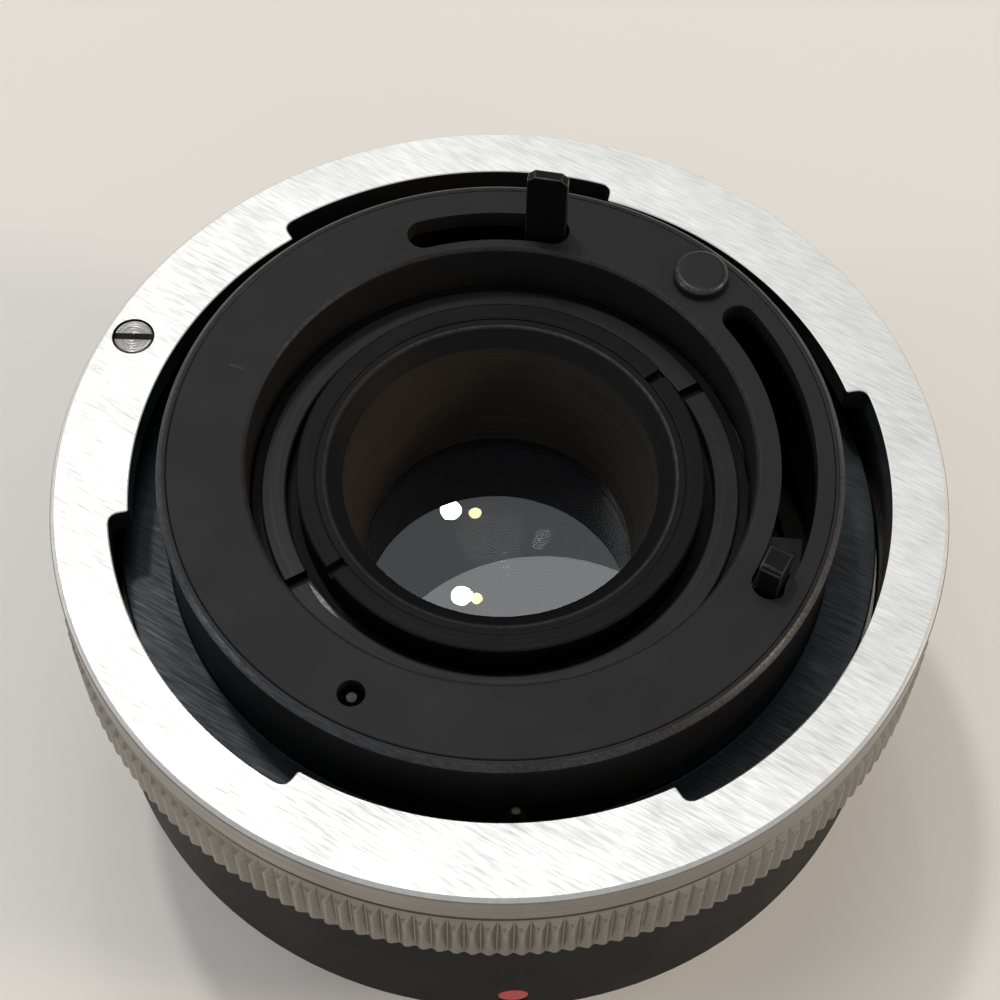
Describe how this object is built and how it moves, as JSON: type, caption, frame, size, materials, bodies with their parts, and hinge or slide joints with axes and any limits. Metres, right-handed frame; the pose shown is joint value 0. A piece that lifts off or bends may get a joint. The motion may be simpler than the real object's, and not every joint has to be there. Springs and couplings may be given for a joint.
{
  "type": "camera teleconverter",
  "caption": "Round teleconverter with a claw mount on the lens side, a turning breech-lock ring on the camera side, a stepped light bore and levers that pass on the aperture.",
  "frame": {"origin": "centre of the lens-side mount face, on the optical axis, where the part stands on a table", "axes": "+Z along the optical axis towards the camera; -Y towards the locating pin and the index dot"},
  "size_m": [0.0634, 0.0634, 0.0399],
  "materials": {
    "black_barrel": "black anodised, satin",
    "index_red": "red paint fill",
    "satin_chrome": "brushed satin chrome on brass",
    "steel": "bright steel",
    "black_steel": "blackened steel",
    "black_mount": "black chrome on brass, satin",
    "black_plate": "matte black anodised",
    "black_anodised": "black anodised, semi-matte",
    "baffle_black": "flat black paint",
    "glass": "coated optical glass",
    "brass": "bare brass",
    "spring_wire": "drawn spring wire"
  },
  "bodies": {
    "housing": {"main_barrel": "black_barrel", "index_dot": "index_red", "front_mount": "satin_chrome", "front_mount_screws": "steel", "core_sleeve": "black_anodised", "rear_mount": "black_mount", "rear_mount_screws": "black_steel", "locating_pin": "steel", "rear_plate": "black_plate", "aperture_post": "black_steel", "friction_washer": "black_steel", "lens_cell": "black_anodised", "cell_lock_ring": "black_anodised", "rear_retainer": "black_anodised", "rear_baffle": "baffle_black", "rear_element": "glass", "rear_spacer": "black_anodised", "doublet_rear": "glass", "doublet_front": "glass", "front_element": "glass", "front_retainer": "black_anodised", "aperture_spring": "spring_wire", "carrier_spacer": "black_anodised", "signal_spring": "spring_wire", "carrier_clip": "steel", "spring_posts": "steel", "exposure_bush": "brass", "exposure_spring": "spring_wire"},
    "breech_ring": {"breech_ring": "satin_chrome", "ring_stop_screw": "steel"},
    "aperture_linkage": {"aperture_carrier": "black_steel", "aperture_lever": "black_steel", "aperture_follower": "steel", "aperture_rivets": "steel"},
    "signal_linkage": {"signal_carrier": "black_steel", "signal_lever": "black_steel", "signal_follower": "steel", "signal_rivets": "steel"},
    "exposure_pin": {"exposure_pin": "steel"}
  },
  "joints": [
    {"name": "breech_ring_turn", "type": "hinge", "parent": "housing", "child": "breech_ring", "pos_m": [0, 0, 0.0258], "axis": [0, 0, 1], "range_deg": [0, 60]},
    {"name": "aperture_lever_swing", "type": "hinge", "parent": "housing", "child": "aperture_linkage", "pos_m": [0, 0, 0.02065], "axis": [0, 0, 1], "range_deg": [0, 23], "stiffness_Nm_per_rad": 0.02, "springref_deg": -17.19, "deforming": ["aperture_spring"]},
    {"name": "signal_lever_swing", "type": "hinge", "parent": "housing", "child": "signal_linkage", "pos_m": [0, 0, 0.02525], "axis": [0, 0, 1], "range_deg": [0, 60], "stiffness_Nm_per_rad": 0.01, "springref_deg": -22.92, "deforming": ["signal_spring"]},
    {"name": "exposure_pin_slide", "type": "slide", "parent": "housing", "child": "exposure_pin", "axis": [0, 0, 1], "range_m": [0, 0.0018], "stiffness_N_per_m": 60, "springref_m": -0.003, "deforming": ["exposure_spring"]}
  ]
}
